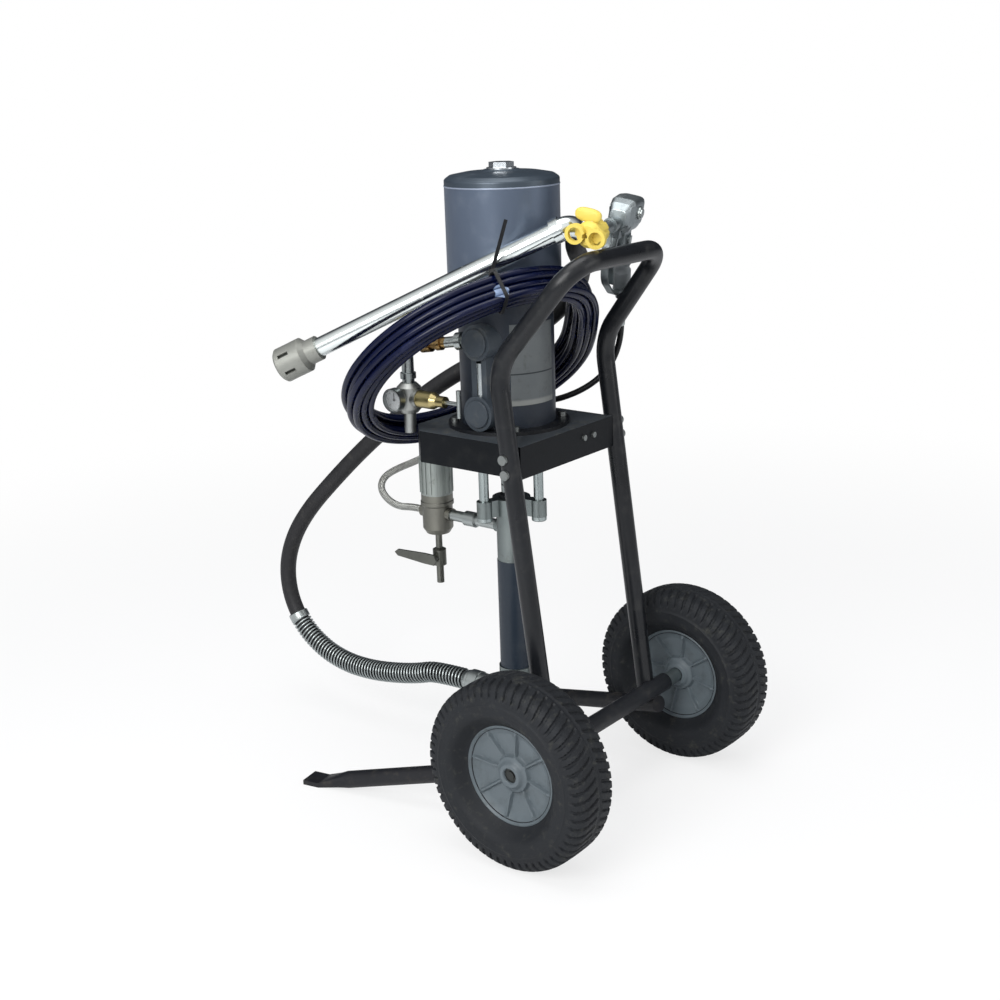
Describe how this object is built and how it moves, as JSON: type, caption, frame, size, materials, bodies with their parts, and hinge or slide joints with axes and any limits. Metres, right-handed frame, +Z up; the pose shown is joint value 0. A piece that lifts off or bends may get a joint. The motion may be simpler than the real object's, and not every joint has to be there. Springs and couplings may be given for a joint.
{
  "type": "airless paint sprayer",
  "caption": "Air-driven airless paint pump on a two-wheel tube cart, with suction lance, filter, spray gun and a tied coil of hose.",
  "frame": {"origin": "on the floor under the middle of the cart without its hoses, midway between its two wheels", "axes": "+Z up, +Y towards the handle side, where the user stands, +X towards the side with the air valve and gauge"},
  "size_m": [0.4824, 0.7782, 0.889],
  "materials": {
    "black_paint": "satin",
    "grey_paint": "satin",
    "dark_grey_paint": "satin",
    "blue_grey_paint": "metallic",
    "plated_steel": "satin",
    "polished_steel": "gloss",
    "cast_aluminium": "satin",
    "dark_sleeve": "satin",
    "brass": "satin",
    "bare_plate": "satin",
    "tyre": "matte",
    "black_rubber": "matte",
    "blue_hose": "satin",
    "braided_steel": "satin",
    "black_plastic": "satin",
    "pale_plastic": "satin",
    "grey_plastic": "satin",
    "yellow_plastic": "satin",
    "clear_glass": "gloss"
  },
  "bodies": {
    "cart": {"frame_tube": "black_paint", "axle_tube": "black_paint", "stand_feet": "black_paint", "motor_tray": "black_paint", "bolts": "plated_steel", "axle_shaft": "plated_steel", "wheel_spacers": "plated_steel", "base_plate": "black_paint", "air_cylinder": "blue_grey_paint", "cylinder_head": "cast_aluminium", "motor_jacket": "blue_grey_paint", "top_plug": "plated_steel", "tie_rods": "plated_steel", "outlet_housing": "plated_steel", "rod_packings": "plated_steel", "pump_cylinder": "dark_sleeve", "foot_valve": "plated_steel", "valve_housing": "dark_grey_paint", "label_plate": "bare_plate", "regulator_body": "plated_steel", "regulator_bonnet": "brass", "gauge_case": "polished_steel", "gauge_glass": "clear_glass", "air_fittings": "brass", "filter_bowl": "pale_plastic", "filter_body": "plated_steel", "filter_element": "polished_steel", "fluid_pipe": "plated_steel", "drain_valve": "plated_steel", "suction_swivel": "plated_steel", "suction_hose": "black_rubber", "spring_guard": "plated_steel", "suction_tube": "polished_steel", "strainer": "pale_plastic", "long_hose": "blue_hose", "hose_unions": "plated_steel", "zip_tie": "black_plastic", "braided_hose": "braided_steel", "whip_hose": "black_rubber", "gun_body": "cast_aluminium", "gun_grip": "grey_plastic", "trigger_guard": "plated_steel", "tip_guard": "yellow_plastic", "gun_swivel": "plated_steel"},
    "near_wheel": {"tyre_near": "tyre", "rim_near": "grey_paint"},
    "far_wheel": {"tyre_far": "tyre", "rim_far": "grey_paint"},
    "motor_train": {"air_piston": "polished_steel", "rod_coupling": "plated_steel", "pump_rod": "polished_steel"},
    "upper_ball": {"piston_ball": "polished_steel"},
    "lower_ball": {"foot_ball": "polished_steel"},
    "spool": {"valve_spool": "polished_steel"},
    "regulator_screw": {"regulator_screw": "polished_steel"},
    "pointer": {"gauge_pointer": "black_paint"},
    "drain_handle": {"drain_handle": "plated_steel"},
    "gun_trigger": {"trigger": "polished_steel"},
    "gun_latch": {"safety_latch": "polished_steel"},
    "gun_tip": {"spray_tip": "polished_steel"}
  },
  "joints": [
    {"name": "near_wheel_spin", "type": "hinge", "parent": "cart", "child": "near_wheel", "pos_m": [0.2012, 0.14, 0.13], "axis": [1, 0, 0], "continuous": true},
    {"name": "far_wheel_spin", "type": "hinge", "parent": "cart", "child": "far_wheel", "pos_m": [-0.2012, 0.14, 0.13], "axis": [1, 0, 0], "continuous": true},
    {"name": "motor_stroke", "type": "slide", "parent": "cart", "child": "motor_train", "axis": [0, 0, 1], "range_m": [0, 0.074]},
    {"name": "piston_ball_lift", "type": "slide", "parent": "motor_train", "child": "upper_ball", "axis": [0, 0, 1], "range_m": [0, 0.004]},
    {"name": "foot_ball_lift", "type": "slide", "parent": "cart", "child": "lower_ball", "axis": [0, 0, 1], "range_m": [0, 0.004]},
    {"name": "spool_shift", "type": "slide", "parent": "cart", "child": "spool", "axis": [0, 0, 1], "range_m": [0, 0.012]},
    {"name": "regulator_turn", "type": "hinge", "parent": "cart", "child": "regulator_screw", "pos_m": [0.085, -0.0365, 0.5745], "axis": [0, 1, 0], "range_deg": [-90, 90]},
    {"name": "pointer_turn", "type": "hinge", "parent": "cart", "child": "pointer", "pos_m": [0.115, -0.1265, 0.5765], "axis": [1, 0, 0], "range_deg": [-130, 130]},
    {"name": "drain_turn", "type": "hinge", "parent": "cart", "child": "drain_handle", "pos_m": [0.0173, -0.159, 0.312], "axis": [1, 0, 0], "range_deg": [0, 90]},
    {"name": "trigger_pull", "type": "hinge", "parent": "cart", "child": "gun_trigger", "pos_m": [-0.06155, 0.1216, 0.79736], "axis": [-0.2487, 0.946, -0.2077], "range_deg": [0, 18], "stiffness_Nm_per_rad": 2, "springref_deg": -11.46},
    {"name": "latch_turn", "type": "hinge", "parent": "cart", "child": "gun_latch", "pos_m": [-0.08758, 0.11244, 0.78681], "axis": [-0.2487, 0.946, -0.2077], "range_deg": [0, 90]},
    {"name": "tip_turn", "type": "hinge", "parent": "cart", "child": "gun_tip", "pos_m": [0.03422, 0.14841, 0.80477], "axis": [-0.0096, 0.212, 0.9772], "range_deg": [0, 180]}
  ]
}
